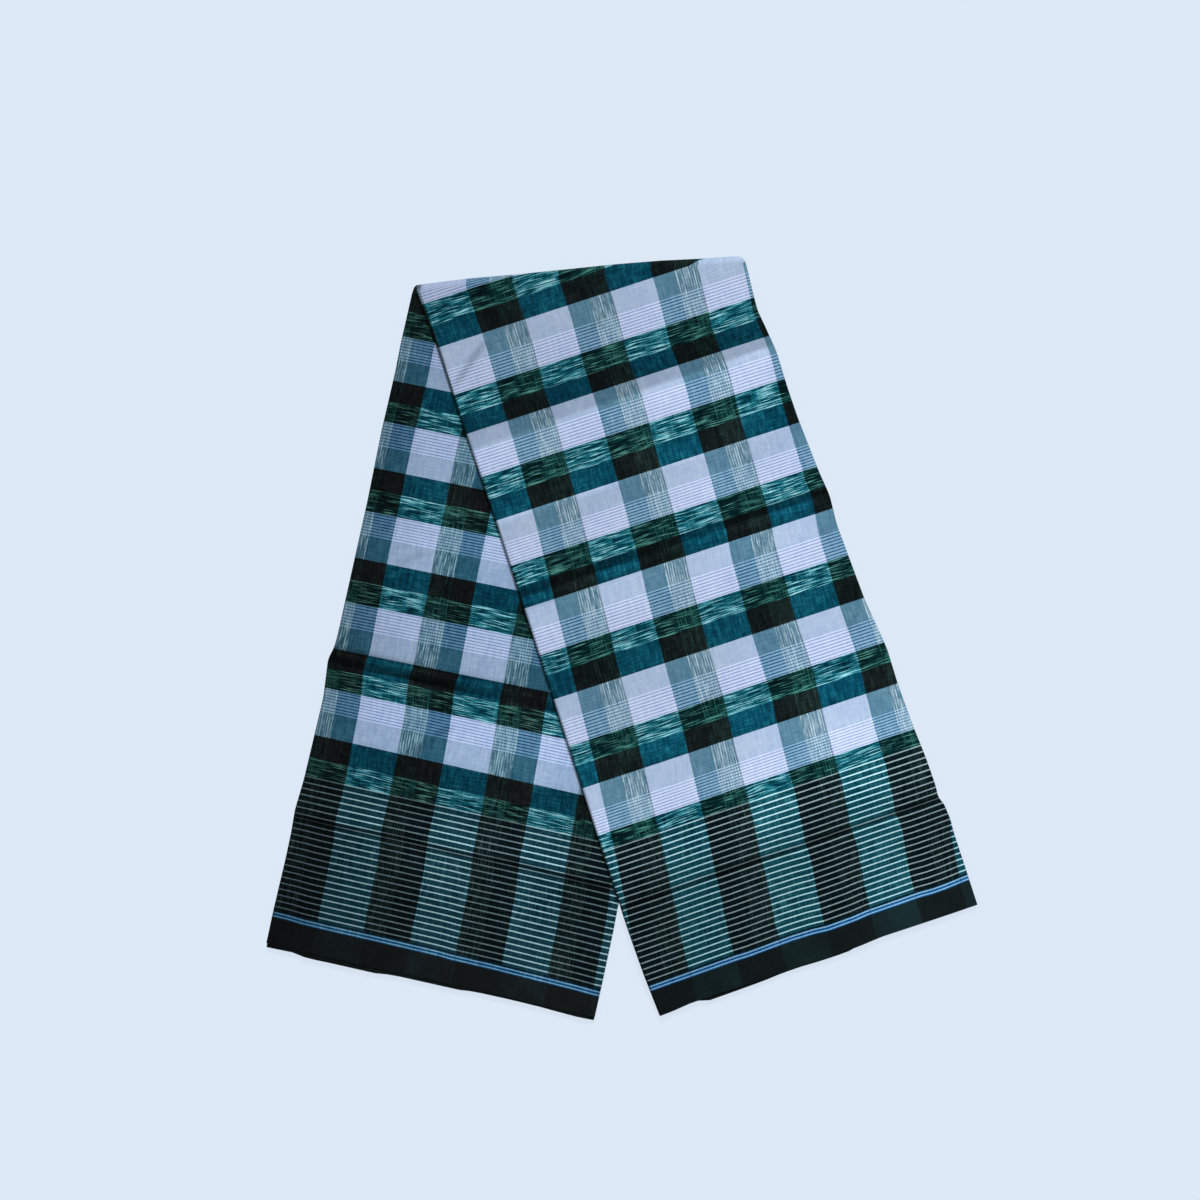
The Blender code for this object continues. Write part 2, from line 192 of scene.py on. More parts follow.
UNDER_LEG = {
    "tilt": math.radians(-12.5),
    "first_level_row": 30.0,
    "end": 557.0,
    "edges": (
        (-75.0, -0.5, 261.6), (6.0, -0.6, 263.6), (51.0, -0.8, 264.6), (72.0, -0.2, 265.2),
        (122.0, -0.7, 266.4), (183.0, 0.5, 267.9), (290.0, 0.4, 270.5), (303.0, 0.2, 270.8),
        (310.0, -1.2, 271.0), (316.0, -3.0, 271.1), (348.0, 0.0, 272.0), (418.0, -1.0, 273.6),
        (444.0, -2.8, 274.2), (462.0, -1.8, 275.2), (486.0, -1.6, 275.9), (526.0, -2.2, 276.2),
        (557.0, -2.0, 276.2),
    ),
    "hem": (
        (0.00, 556.4), (0.13, 557.0), (0.16, 556.6), (0.35, 557.0), (0.45, 556.4), (0.70, 556.4),
        (0.90, 557.4), (1.00, 557.2),
    ),
    "inner_hem": (
        (0.00, 559.6), (0.10, 559.2), (0.115, 560.8), (0.14, 561.9), (0.16, 561.1), (0.36, 561.3),
        (0.375, 559.6), (0.60, 559.7), (0.63, 558.4), (0.75, 558.4), (0.84, 559.0), (0.87, 559.5),
        (0.95, 560.4), (1.00, 560.1),
    ),
    "creases": (
        ((40.0, 0.0), (48.0, 0.5), (52.0, -0.5), (57.0, 0.4), (68.0, 0.0)),
        ((171.0, 0.0), (180.0, 0.6), (184.0, -0.5), (189.0, 0.4), (200.0, 0.0)),
        ((292.0, 0.0), (303.0, 1.5), (308.5, -0.9), (312.0, 0.7), (315.5, -1.0), (320.0, 1.4), (334.0, 0.0)),
        ((437.0, 0.0), (446.0, 1.1), (449.5, -1.1), (453.0, 0.7), (462.0, 0.0)),
    ),
    "wrinkles": (
        (73.0, 381.0, 112.0, 342.0, 0.7, 5.0), (133.0, 396.0, 147.0, 382.0, 0.5, 4.0),
        (30.0, 230.0, 62.0, 205.0, 0.5, 5.0),
    ),
    "painted_crease_shading": (
        ((49.0, 1.0), (52.0, 0.85), (54.5, 1.1), (60.0, 1.0)),
        ((181.0, 1.0), (184.0, 0.85), (187.0, 1.1), (194.0, 1.0)),
        ((304.0, 1.0), (307.0, 0.8), (309.5, 1.1), (312.0, 0.65), (314.0, 0.64), (316.0, 0.40),
         (318.0, 0.32), (319.0, 0.55), (320.0, 1.15), (322.0, 1.0)),
        ((426.0, 1.0), (436.0, 1.2), (446.0, 1.15), (448.0, 0.4), (451.0, 0.4), (453.0, 0.95)),
    ),
    "light_across": ((0.0, 0.74), (30.0, 0.88), (60.0, 0.98), (110.0, 1.05), (160.0, 1.1), (270.0, 1.12)),
    "light_down": (
        (0.0, 0.95), (228.0, 1.05), (304.0, 0.88), (330.0, 1.08), (375.0, 1.08), (385.0, 0.88),
        (415.0, 0.90), (425.0, 1.08), (475.0, 0.98), (510.0, 0.94),
    ),
    "bars": (
        (0.0, 1.50), (70.0, 1.49), (160.0, 1.43), (220.0, 1.44), (280.0, 1.51), (340.0, 1.63), (370.0, 1.68),
        (400.0, 1.74), (448.0, 1.81), (472.0, 1.88), (496.0, 1.90), (557.0, 1.98),
    ),
    "quarters_across": 14.28,
    "upside_down": True,
    "band_tilt": ((0.0, -4.8), (320.0, -4.8), (350.0, 0.0), (400.0, 1.5)),
    "band_start": 26.0,
    "bands": (
        1.6, 19.8, 40.8, 60.6, 77.9, 95.6, 112.5, 133.1, 151.6, 169.7, 187.9, 207.6, 227.4, 246.0, 264.5,
        285.1, 304.4, 321.4, 339.1, 359.7, 380.3, 399.2,
    ),
    "border_start": 413.2,
    "blue_line": (
        (0.0, 531.0), (12.0, 531.2), (23.0, 532.1), (46.0, 532.4), (92.0, 532.5), (138.0, 533.0),
        (150.0, 533.7), (185.0, 534.0), (219.0, 534.9), (254.0, 535.8), (270.0, 536.6),
    ),
    "first_blue": 1.55,
    "line_shift": (
        (414.0, 1.8, 0.8), (430.0, 1.9, 0.9), (446.0, 2.8, 1.6), (450.0, 1.2, 0.3), (455.0, 0.2, -0.2),
        (465.0, 0.1, 0.3), (485.0, 0.8, 0.4), (500.0, 1.0, 1.0), (520.0, 0.9, 1.4), (534.0, 0.4, 1.1),
        (557.0, 0.0, 0.0),
    ),
}


def smooth(value):
    """Ease from 0 to 1 as the value goes from 0 to 1."""
    value = np.clip(value, 0.0, 1.0)
    return value * value * (3.0 - 2.0 * value)


def along(table, column, position):
    """Column of a table of points, at positions along its first column, its corners a little rounded."""
    table = np.array(table)
    spots = [np.interp(position + shift, table[:, 0], table[:, column]) for shift in EDGE_ROUNDING]
    return np.mean(spots, axis=0)


def turn_direction():
    """Unit vector along the turn, left to right."""
    run = TURN_RIGHT[0] - TURN_LEFT[0]
    rise = TURN_RIGHT[1] - TURN_LEFT[1]
    length = math.hypot(run, rise)
    return run / length, rise / length


def to_plan(tilt, across, down):
    """Plan position of a point given in a leg's frame."""
    x = TURN_LEFT[0] + across * math.cos(tilt) + down * math.sin(tilt)
    y = TURN_LEFT[1] + across * math.sin(tilt) - down * math.cos(tilt)
    return x, y


def to_leg(tilt, x, y):
    """Position in a leg's frame of a point given in plan."""
    x = x - TURN_LEFT[0]
    y = y - TURN_LEFT[1]
    return x * math.cos(tilt) + y * math.sin(tilt), x * math.sin(tilt) - y * math.cos(tilt)


def turn_axis_down(tilt, across):
    """How far down a leg the turn's axis lies."""
    run, rise = turn_direction()
    start = to_leg(tilt, TURN_LEFT[0] + rise * TURN_RADIUS, TURN_LEFT[1] - run * TURN_RADIUS)
    slope = (run * math.sin(tilt) - rise * math.cos(tilt)) / (run * math.cos(tilt) + rise * math.sin(tilt))
    return start[1] + slope * (across - start[0])


def leg_rows(leg, step):
    """Rows across a leg, turn to selvedge: down at the left, down at the right, share of the bow."""
    first = leg["first_level_row"]
    left = turn_axis_down(leg["tilt"], leg["edges"][0][1])
    right = turn_axis_down(leg["tilt"], leg["edges"][0][2])
    rows = []
    fan_rows = int((first - min(left, right)) / step)
    for fan in np.linspace(0.0, 1.0, fan_rows, endpoint=False):
        rows.append((left + fan * (first - left), right + fan * (first - right), 1.0 - fan))
    down = first
    while down < leg["end"] - 0.5:
        rows.append((down, down, 0.0))
        near = min(abs(down - place) for crease in leg["creases"] for place, rise in crease if rise < 0.0)
        down += CREASE_ROW_STEP * step / ROW_STEP if near < CREASE_ROWS_REACH else step
    rows.append((leg["end"], leg["end"], 0.0))
    return np.array(rows)


def leg_plan(leg, row, share, inset_left, inset_right, hem="hem"):
    """Plan position on rows of a leg, the insets measured in from its side edges."""
    left_x, left_y = to_plan(leg["tilt"], along(leg["edges"], 1, row[0]), row[0])
    right_x, right_y = to_plan(leg["tilt"], along(leg["edges"], 2, row[1]), row[1])
    width = np.hypot(right_x - left_x, right_y - left_y)
    share = (inset_left + share * (width - inset_left - inset_right)) / width
    run, rise = turn_direction()
    bow_table = np.array(TURN_BOW)
    bow = row[2] * np.interp(share, bow_table[:, 0], bow_table[:, 1])
    x = left_x + share * (right_x - left_x) - rise * bow
    y = left_y + share * (right_y - left_y) + run * bow
    hem = np.array(leg[hem])
    near_hem = smooth((row[0] - leg["end"] + HEM_REACH) / HEM_REACH) * (1.0 - row[2])
    shift = near_hem * (np.interp(share, hem[:, 0], hem[:, 1]) - leg["end"])
    return x + shift * math.sin(leg["tilt"]), y - shift * math.cos(leg["tilt"])


def slow_noise(x, y, size, seed):
    """Smooth unevenness from -1 to 1 whose swells are about as far apart as the size given."""
    places = zip(np.ravel(x) / size, np.ravel(y) / size)
    values = [noise.noise(Vector((a, b, seed))) for a, b in places]
    return np.array(values).reshape(np.shape(x)) * 1.6


def crease_wander(number, across):
    """How far below its straight line a packing crease runs on its way across."""
    return CREASE_WANDER * slow_noise(across, np.zeros_like(across), CREASE_WANDER_SIZE, seed=3.1 + number)


def wrinkles_near(leg, across, down):
    """Each soft wrinkle of a leg: its height, reach and strength, and how far below it the points lie."""
    for start_across, start_down, end_across, end_down, height, reach in leg["wrinkles"]:
        length = math.hypot(end_across - start_across, end_down - start_down)
        run_across = (end_across - start_across) / length
        run_down = (end_down - start_down) / length
        ahead = (across - start_across) * run_across + (down - start_down) * run_down
        below = (down - start_down) * run_across - (across - start_across) * run_down
        fade = smooth(ahead / WRINKLE_FADE) * smooth((length - ahead) / WRINKLE_FADE)
        yield height, reach, fade, below


def crease_relief(leg, across, down):
    """Rise of the slow swells, packing creases and soft wrinkles of a leg's top layer."""
    rise = BROAD_SWELL * slow_noise(across, down, BROAD_SWELL_SIZE, seed=21.3)
    rise += SMALL_SWELL * slow_noise(across, down * 1.6, SMALL_SWELL_SIZE, seed=25.9)
    for number, crease in enumerate(leg["creases"]):
        places, heights = np.array(crease).T
        level = down - crease_wander(number, across)
        bent = [np.interp(level + shift, places, heights) for shift in CREASE_ROUNDING]
        strength = 0.8 + 0.45 * slow_noise(across, np.zeros_like(across), 75.0, seed=11.7 + number)
        rise += strength * np.mean(bent, axis=0)
    for height, reach, fade, below in wrinkles_near(leg, across, down):
        rise += height * fade * smooth(1.0 - np.abs(below) / reach)
    return rise


def painted_slope_shading(leg, across, down):
    """Painted light and shade, a gain on the colour, where the cloth slopes a little to or from the lamp."""
    gain_across = np.interp(across, *np.array(leg["light_across"]).T)
    return gain_across * np.interp(down, *np.array(leg["light_down"]).T)


def painted_leg_shading(leg, across, down):
    """Painted light and shade, a gain on the colour, on the cloth's slopes and beside its creases and
    wrinkles.
    """
    painted_shading_gain = painted_slope_shading(leg, across, down)
    for number, table in enumerate(leg["painted_crease_shading"]):
        places, gains = np.array(table).T
        level = down - crease_wander(number, across)
        strength = 0.95 + 0.35 * slow_noise(across, np.zeros_like(across), 45.0, seed=41.3 + number)
        painted_shading_gain *= 1.0 + strength * (np.interp(level, places, gains) - 1.0)
    for height, reach, fade, below in wrinkles_near(leg, across, down):
        painted_shading_gain *= 1.0 - WRINKLE_SHADE * height * fade * smooth(1.0 - np.abs(below - reach / 2) / reach)
    return painted_shading_gain


def rest_height(leg, x, y):
    """Height that a leg rests on: the surface, or the under leg."""
    if leg is UNDER_LEG:
        return np.zeros_like(x)
    across, down = to_leg(UNDER_LEG["tilt"], x, y)
    beside = across - along(UNDER_LEG["edges"], 2, down)
    return (LEG_HEIGHT + LAYER_GAP) * (1.0 - smooth((beside - DROP_START) / DROP_LENGTH))


def uncovered(x, y):
    """Share of its own creases that the under leg shows: 0 at and under the over leg, 1 clear of it."""
    across, down = to_leg(OVER_LEG["tilt"], x, y)
    return smooth((along(OVER_LEG["edges"], 1, down) - across - COVER_MARGIN) / COVER_FADE)


def band_place(leg, across, down):
    """Where in the weave's sequence of weft bands a point lies, four quarters to a check."""
    tilt = np.array(leg["band_tilt"])
    level = down - np.interp(down, tilt[:, 0], tilt[:, 1]) * (across / EDGE_WIDTH - 0.5)
    stops = np.array(leg["bands"])
    numbers = leg["band_start"] + np.arange(len(stops))
    if stops[0] > stops[-1]:
        stops = stops[::-1]
        numbers = numbers[::-1]
    place = np.interp(level, stops, numbers)
    beyond = np.maximum(stops[0] - level, 0.0) * (numbers[1] - numbers[0]) / (stops[1] - stops[0])
    beyond -= np.maximum(level - stops[-1], 0.0) * (numbers[-1] - numbers[-2]) / (stops[-1] - stops[-2])
    return place - beyond


def border_place(leg, across, down):
    """Which line of the selvedge border a point lies on, counted up from the first blue line."""
    blue = np.array(leg["blue_line"])
    first_blue = np.interp(across, blue[:, 0], blue[:, 1]) - leg["first_blue"]
    places, left, right = np.array(leg["line_shift"]).T
    left_shift = np.interp(down, places, left)
    right_shift = np.interp(down, places, right)
    down = down - left_shift - (right_shift - left_shift) * across / EDGE_WIDTH
    tilt = np.interp(leg["border_start"], *np.array(leg["band_tilt"]).T)
    start = leg["border_start"] + tilt * (across / EDGE_WIDTH - 0.5)
    lines = BORDER_LINES * (first_blue - down) / (first_blue - start)
    return np.where(down > first_blue, (first_blue - down) / BORDER_PITCH, lines)


def layer_height(number):
    """Height of the middle of a layer in the over leg, the first layer lowest."""
    return CLOTH_THICKNESS / 2 + (number - 1) * LAYER_PITCH


class FoldedPath:
    """Way of the cloth across a leg, over flats and round folds, with its place in the warp bars."""

    def __init__(self, leg):
        self.upside_down = leg["upside_down"]
        self.quarters = leg["quarters_across"]
        self.points = []

    def add(self, share, height, inset_left, inset_right, bars):
        if self.upside_down:
            height = LEG_HEIGHT - height
        self.points.append((share, height, inset_left, inset_right, bars))

    def flat(self, number, start, end, steps, inset_left, inset_right, direction, widths_before):
        """Add a layer between two shares of the width, after so many widths of cloth. Gives its columns."""
        first_column = len(self.points)
        for share in np.linspace(start, end, steps):
            plan_share = (inset_left + share * (EDGE_WIDTH - inset_left - inset_right)) / EDGE_WIDTH
            bars = (widths_before + direction * plan_share) * self.quarters
            self.add(share, layer_height(number), inset_left, inset_right, bars)
        return slice(first_column, len(self.points))

    def fold(self, side, first, last, steps, inset, direction, widths_before):
        """Add a fold round one side edge between two layers, without its ends."""
        centre = (layer_height(first) + layer_height(last)) / 2
        radius = (layer_height(last) - layer_height(first)) / 2
        for angle in np.linspace(-math.pi / 2, math.pi / 2, steps + 2)[1:-1]:
            bars = widths_before * self.quarters + direction * angle * abs(radius) / QUARTER
            height = centre + radius * math.sin(angle)
            reach = abs(radius) * math.cos(angle)
            if side == "left":
                self.add(0.0, height, inset - reach, inset, bars)
            else:
                self.add(1.0, height, inset, inset - reach, bars)


def cloth_grid(leg, path, rows, turn_rows, hem="hem"):
    """Points and maps of a strip of cloth along a leg and, before it, round the turn.

    The maps are the place in the check, the place in the border, and the painted light and shade with the
    distance from left.
    """
    path = np.array(path.points)
    share, height, inset_left, inset_right, bars = path.T
    points = []
    checks = []
    borders = []
    painted_shading = []
    from_left = inset_left + share * (EDGE_WIDTH - inset_left - inset_right)
    run, rise = turn_direction()
    over_start = leg_rows(OVER_LEG, ROW_STEP)[0]
    under_start = leg_rows(UNDER_LEG, ROW_STEP)[0]
    for turn in np.linspace(1.0, 0.0, turn_rows, endpoint=False):
        angle = math.pi * (0.5 - turn)
        corner = TURN_CORNER * (1.0 - abs(math.sin(angle)))
        over = leg_plan(OVER_LEG, over_start, share, inset_left, inset_right + corner)
        under = leg_plan(UNDER_LEG, under_start, share, inset_left, inset_right + corner)
        radius = height + LAYER_GAP / 2
        x = over[0] + turn * (under[0] - over[0]) - rise * radius * math.cos(angle)
        y = over[1] + turn * (under[1] - over[1]) + run * radius * math.cos(angle)
        points.append((x, y, TURN_RADIUS + radius * math.sin(angle)))
        over_place = band_place(OVER_LEG, *to_leg(OVER_LEG["tilt"], *over))
        under_place = band_place(UNDER_LEG, *to_leg(UNDER_LEG["tilt"], *under))
        left = OVER_LEG["bars"][0][1] + turn * (UNDER_LEG["bars"][0][1] - OVER_LEG["bars"][0][1])
        checks.append((left + bars, over_place + turn * (under_place - over_place)))
        borders.append((share, np.full_like(share, NOT_BORDER)))
        # Painted light and shade of the slopes, and painted shade over the left end of the turn, where its
        # rounded cloth would otherwise show pale.
        painted_shading_gain = painted_slope_shading(OVER_LEG, *to_leg(OVER_LEG["tilt"], *over))
        shade = TURN_END_SHADE * smooth(turn * 4.0) * (1.0 - smooth(from_left / TURN_END_WIDTH))
        painted_shading.append((painted_shading_gain * (1.0 - shade), from_left))
    for row in rows:
        x, y = leg_plan(leg, row, share, inset_left, inset_right, hem)
        across, down = to_leg(leg["tilt"], x, y)
        relief = crease_relief(leg, across, down) * height / LEG_HEIGHT
        if leg is UNDER_LEG:
            relief = relief * uncovered(x, y)
        else:
            relief = relief * smooth((down - turn_axis_down(leg["tilt"], across)) / FLAT_PAST_TURN)
        points.append((x, y, rest_height(leg, x, y) + height + relief))
        bar_place = np.interp(down, *np.array(leg["bars"]).T) + bars
        checks.append((bar_place, band_place(leg, across, down)))
        borders.append((share, border_place(leg, across, down)))
        painted_shading.append((painted_leg_shading(leg, across, down), from_left))
    return np.array(points), np.array(checks), np.array(borders), np.array(painted_shading)


def cloth_piece(name, points, checks, borders, painted_shading, material):
    """Thin shell of cloth over a grid of points, with its weave places and its painted light and shade as UV
    maps.
    """
    rows, _, columns = points.shape
    corners = points.transpose(0, 2, 1).reshape(-1, 3) * 0.001
    index = np.arange(rows * columns).reshape(rows, columns)
    faces = np.stack((index[:-1, :-1], index[:-1, 1:], index[1:, 1:], index[1:, :-1]), axis=-1)
    faces = faces.reshape(-1, 4)
    mesh = bpy.data.meshes.new(name)
    mesh.from_pydata(corners.tolist(), [], faces.tolist())
    for map_name, places in (("Check", checks), ("Border", borders), ("Lie", painted_shading)):
        flat = places.transpose(0, 2, 1).reshape(-1, 2)
        layer = mesh.uv_layers.new(name=map_name)
        layer.uv.foreach_set("vector", flat[faces.ravel()].astype(np.float32).ravel())
    mesh.materials.append(material)
    sheet = bpy.data.objects.new(name + "_middle", mesh)
    bpy.context.scene.collection.objects.link(sheet)
    wall = sheet.modifiers.new("cloth_thickness", "SOLIDIFY")
    wall.thickness = CLOTH_THICKNESS * 0.001
    wall.offset = 0.0
    evaluated = sheet.evaluated_get(bpy.context.evaluated_depsgraph_get())
    shell = bpy.data.meshes.new_from_object(evaluated)
    bpy.data.objects.remove(sheet)
    shell.name = name
    shell.shade_smooth()
    shell.set_sharp_from_angle(angle=math.radians(40.0))
    piece = bpy.data.objects.new(name, shell)
    bpy.context.scene.collection.objects.link(piece)
    return piece


def linear(hex_colour):
    """Linear colour with alpha from an sRGB hex value."""
    values = [int(hex_colour[at:at + 2], 16) / 255.0 for at in (1, 3, 5)]
    return (*[v / 12.92 if v <= 0.04045 else ((v + 0.055) / 1.055) ** 2.4 for v in values], 1.0)


def add_node(tree, kind, *inputs, at=None, ramp=None, **settings):
    """Add a node with its settings. Inputs are values, hex colours or links, in order or at given places."""
    made = tree.nodes.new(kind if "Node" in kind else "ShaderNode" + kind)
    for key, value in settings.items():
        setattr(made, key, value)
    if ramp:
        stops = made.color_ramp.elements
        while len(stops) < len(ramp):
            stops.new(1.0)
        for stop, (position, colour) in zip(stops, ramp):
            stop.position = position
            stop.color = linear(colour)
    for place, value in zip(at or range(len(inputs)), inputs):
        if isinstance(value, bpy.types.NodeSocket):
            tree.links.new(value, made.inputs[place])
        elif value is not None:
            made.inputs[place].default_value = linear(value) if isinstance(value, str) else value
    shown = [output for output in made.outputs if output.enabled]
    return shown[0] if shown else made


# Longyi cotton, a fine plain weave of dyed yarns. Warp bars alternate a near-black half, a slubby half with
# pale uneven yarns, and a light bar twice as wide. Weft bands run pin-striped, plain, solid deep teal, and
# ikat-flecked. Where they cross the colours mix, and the surface is matt with hardly any shine. Yarns lie
# 0.3 mm apart, too fine to show, so their unevenness is drawn five times as coarse.
DRAWN_YARN_PITCH = 1.5
SLUB_PITCH = 2.13
PIN_PITCH = 2.34
FLECK_THICKNESS = 0.9
FLECK_LENGTH = 19.0
COTTON_ROUGHNESS = 0.9
COTTON_SPECULAR = 0.03
COTTON_SHEEN = 0.01
COTTON_SHEEN_ROUGHNESS = 0.6
WEAVE_RELIEF = 0.0002
BORDER_LINE_HALF = 0.1
BLUES_FROM = 0.42
SELVEDGE_FROM = -0.84
BORDER_SLUB = "#36534e"
LAST_BLUES = ("#0b2434", "#0a1b22")
BAR_EDGE = "#14262c"

# A bar has its colours on the pin-striped, plain, solid and flecked bands. Pin stripes have one for each
# bar, and slub yarns one for pale, solid and flecked bands. Flecks run from the darkest yarn to the palest.
# The border has its ground on dark and light bars, then its lines on them. The blues are middle, deep, pale.
# Last come the gain of the painted shade along the left fold, and how much darker the border is towards its
# left edge.
OVER_LEG_DYES_AND_SHADE = {
    "dark": ("#7ea7c5", "#547c93", "#0e1617", "#0e1617"),
    "slub": ("#8bacc5", "#54788c", "#0f1918", "#0f1918"),
    "light": ("#c6d5f3", "#a4b8d4", "#054255", "#054255"),
    "pins": ("#365b78", "#4e7188", "#93a3c9"),
    "slub_pale": ("#cae1ee", "#1a3131", "#226058"),
    "flecks_light": ("#012f3b", "#05505f", "#31899a", "#98d0d8"),
    "flecks_dark": ("#011114", "#021f24", "#083535", "#4f8d83"),
    "border": ("#041317", "#0e4450", "#82969b", "#aedae4"),
    "selvedge": ("#12191b", "#152b2d"),
    "blues": ("#12456c", "#115189", "#80b3d7"),
    "fold_shade": 0.2,
    "border_darker_to_left": 0.86,
}
# The under leg's colours are the over leg's cloth painted darker, as the shade it lies in.
UNDER_LEG_SHADED_DYES = {
    "dark": ("#5681a2", "#285468", "#0f1213", "#0f1213"),
    "slub": ("#6f92a9", "#34596b", "#0c1211", "#0c1211"),
    "light": ("#aec3e4", "#8ea5c3", "#053d4e", "#053d4e"),
    "pins": ("#1c3f5b", "#38586f", "#7f91b8"),
    "slub_pale": ("#a1c8d7", "#172828", "#1b524d"),
    "flecks_light": ("#012b36", "#054856", "#2b8090", "#8ec5cf"),
    "flecks_dark": ("#040b0d", "#05181b", "#0b2727", "#447468"),
    "border": ("#040d10", "#0e333e", "#566a6f", "#93b6bf"),
    "selvedge": ("#121516", "#141d20"),
    "blues": ("#0f344e", "#0f4368", "#6496b8"),
    "fold_shade": 0.8,
    "border_darker_to_left": 0.78,
}


def woven_cotton(name, dyes_and_shade):
    """Material of the check: warp bars by the first place of the Check map, weft bands by its second."""
    material = bpy.data.materials.new(name)
    material.use_nodes = True
    tree = material.node_tree
    tree.nodes.clear()
    add = functools.partial(add_node, tree)
    mixed = {"at": (0, 6, 7), "data_type": "RGBA"}
    grained = {"at": ("Vector", "Scale", "Detail", "Roughness"), "noise_dimensions": "2D"}

    # Which bar, band and border line a point lies on.
    check = add("UVMap", uv_map="Check")
    warp = add("SeparateXYZ", check)
    weft = warp.node.outputs[1]
    line = add("SeparateXYZ", add("UVMap", uv_map="Border")).node.outputs[1]
    bar = add("Math", warp, 4.0, operation="FLOORED_MODULO")
    band = add("Math", weft, 4.0, operation="FLOORED_MODULO")
    band_share = add("Math", band, 4.0, operation="DIVIDE")
    is_light = add("Math", bar, 2.0, operation="GREATER_THAN")
    is_slub = add("Math", add("Math", bar, 1.0, operation="GREATER_THAN"), is_light, operation="SUBTRACT")
    is_flecked = add("Math", band, 3.0, operation="GREATER_THAN")
    is_pin = add("Math", band, 1.02, operation="LESS_THAN")
    is_pale = add("Math", band, 2.0, operation="LESS_THAN")

    # Unevenness of the yarns, the dye and the drift of the weft.
    noises = {}
    for key, scale, detail, shift in (
        ("warp_yarns", (QUARTER / DRAWN_YARN_PITCH, 1.6), 1.0, 3.0),
        ("weft_yarns", (1.6, QUARTER / DRAWN_YARN_PITCH), 1.0, 9.0),
        ("mottle", (5.5, 1.1), 2.0, 21.0),
        ("dye", (0.35, 0.35), 1.0, 27.0),
        ("swell", (0.5, 0.6), 1.0, 33.0),
    ):
        placed = add("Mapping", check, (shift, shift, 0.0), None, (*scale, 1.0))
        noises[key] = add("TexNoise", placed, 1.0, detail, 0.6, **grained)

    # Pin stripes.
    pin_place = add("Math", band, 2.0 * QUARTER / PIN_PITCH, operation="MULTIPLY")
    pins = add("MapRange", add("Math", pin_place, 1.0, operation="PINGPONG"), 0.40, 0.75)
    on_pin = add("Math", pins, is_pin, operation="MULTIPLY")

    # Slub yarns, and thin ones between them.
    slub_place = add("Math", warp, QUARTER / SLUB_PITCH, operation="MULTIPLY")
    slub_number = add("Math", slub_place, operation="FLOOR")
    placed = add("Mapping", add("CombineXYZ", slub_number, weft), None, None, (0.73, 0.8, 1.0))
    slub_strength = add("MapRange", add("TexNoise", placed, 1.0, 3.0, 0.75, **grained), 0.39, 0.68)
    in_slub = add("Math", add("Math", slub_place, operation="FRACT"), 0.5, operation="SUBTRACT")
    in_slub = add("MapRange", add("Math", in_slub, operation="ABSOLUTE"), 0.27, 0.05)
    slubs = add("Math", slub_strength, in_slub, operation="MULTIPLY")
    thin_slubs = add("MapRange", noises["warp_yarns"], 0.48, 0.68, 0.0, 0.24)
    slubs = add("Math", slubs, thin_slubs, operation="MAXIMUM")
    under_pins = add("MapRange", on_pin, 0.0, 1.0, 0.95, 0.4)
    slubs = add("Math", slubs, under_pins, operation="MULTIPLY")

    # Ikat flecks, paler towards the solid band.
    drift = add("Math", noises["swell"], 0.14, weft, operation="MULTIPLY_ADD")
    fleck_scale = (QUARTER / FLECK_LENGTH, QUARTER / FLECK_THICKNESS, 1.0)
    placed = add("Mapping", add("CombineXYZ", warp, drift), (5.0, 5.0, 0.0), None, fleck_scale)
    flecks = add("TexNoise", placed, 1.0, 1.5, 0.5, **grained)
    near_solid = add("Math", 3.4, band, operation="SUBTRACT", use_clamp=True)
    paler = add("Math", near_solid, 0.2, operation="MULTIPLY")
    flecks = add("Math", flecks, paler, operation="ADD")

    # Colours of the check.
    fields = {}
    fleck_keys = ("flecks_dark", "flecks_dark", "flecks_light")
    for key, pin_colour, fleck_key in zip(("dark", "slub", "light"), dyes_and_shade["pins"], fleck_keys):
        ground = add("ValToRGB", band_share, ramp=tuple(zip((0.0, 0.25, 0.5, 0.75), dyes_and_shade[key])))
        ground.node.color_ramp.interpolation = "CONSTANT"
        ground = add("Mix", on_pin, ground, pin_colour, **mixed)
        stops = tuple(zip((0.39, 0.51, 0.60, 0.73), dyes_and_shade[fleck_key]))
        fields[key] = add("Mix", is_flecked, ground, add("ValToRGB", flecks, ramp=stops), **mixed)
    slub_pale, slub_dark, slub_flecked = dyes_and_shade["slub_pale"]
    slub_yarn = add("Mix", is_pale, slub_dark, slub_pale, **mixed)
    slub_yarn = add("Mix", is_flecked, slub_yarn, slub_flecked, **mixed)
    slub_field = add("Mix", slubs, fields["slub"], slub_yarn, **mixed)
    colour = add("Mix", is_slub, fields["dark"], slub_field, **mixed)
    colour = add("Mix", is_light, colour, fields["light"], **mixed)

